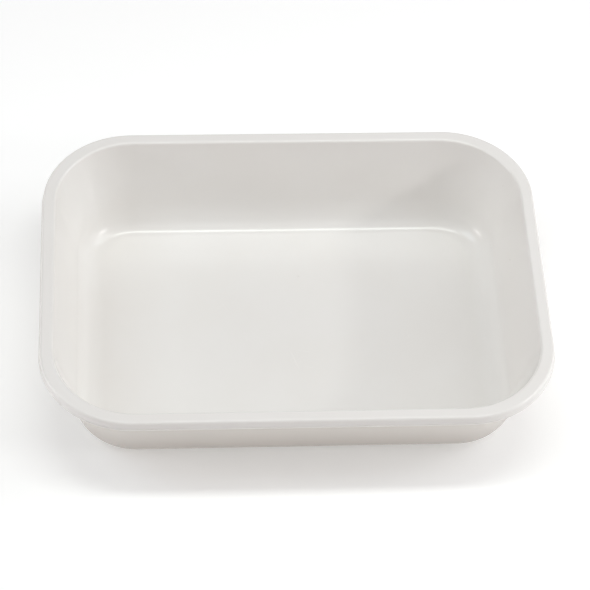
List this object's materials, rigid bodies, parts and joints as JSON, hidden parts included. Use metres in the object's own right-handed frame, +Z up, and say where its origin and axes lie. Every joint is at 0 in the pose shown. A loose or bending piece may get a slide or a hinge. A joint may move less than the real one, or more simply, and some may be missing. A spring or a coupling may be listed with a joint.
{
  "type": "bedpan",
  "caption": "Rectangular slide-in bedpan: an open rounded tub with drafted walls, a flat flange round its mouth and a short turned-down skirt, moulded in one piece.",
  "frame": {"origin": "centre of the plane that the pan stands on", "axes": "+X along the long side, +Y along the short side, +Z up out of the mouth"},
  "size_m": [0.35, 0.26, 0.072],
  "materials": {
    "white_plastic": "satin moulded polypropylene, warm white"
  },
  "bodies": {
    "root": {"pan": "white_plastic"}
  },
  "joints": []
}
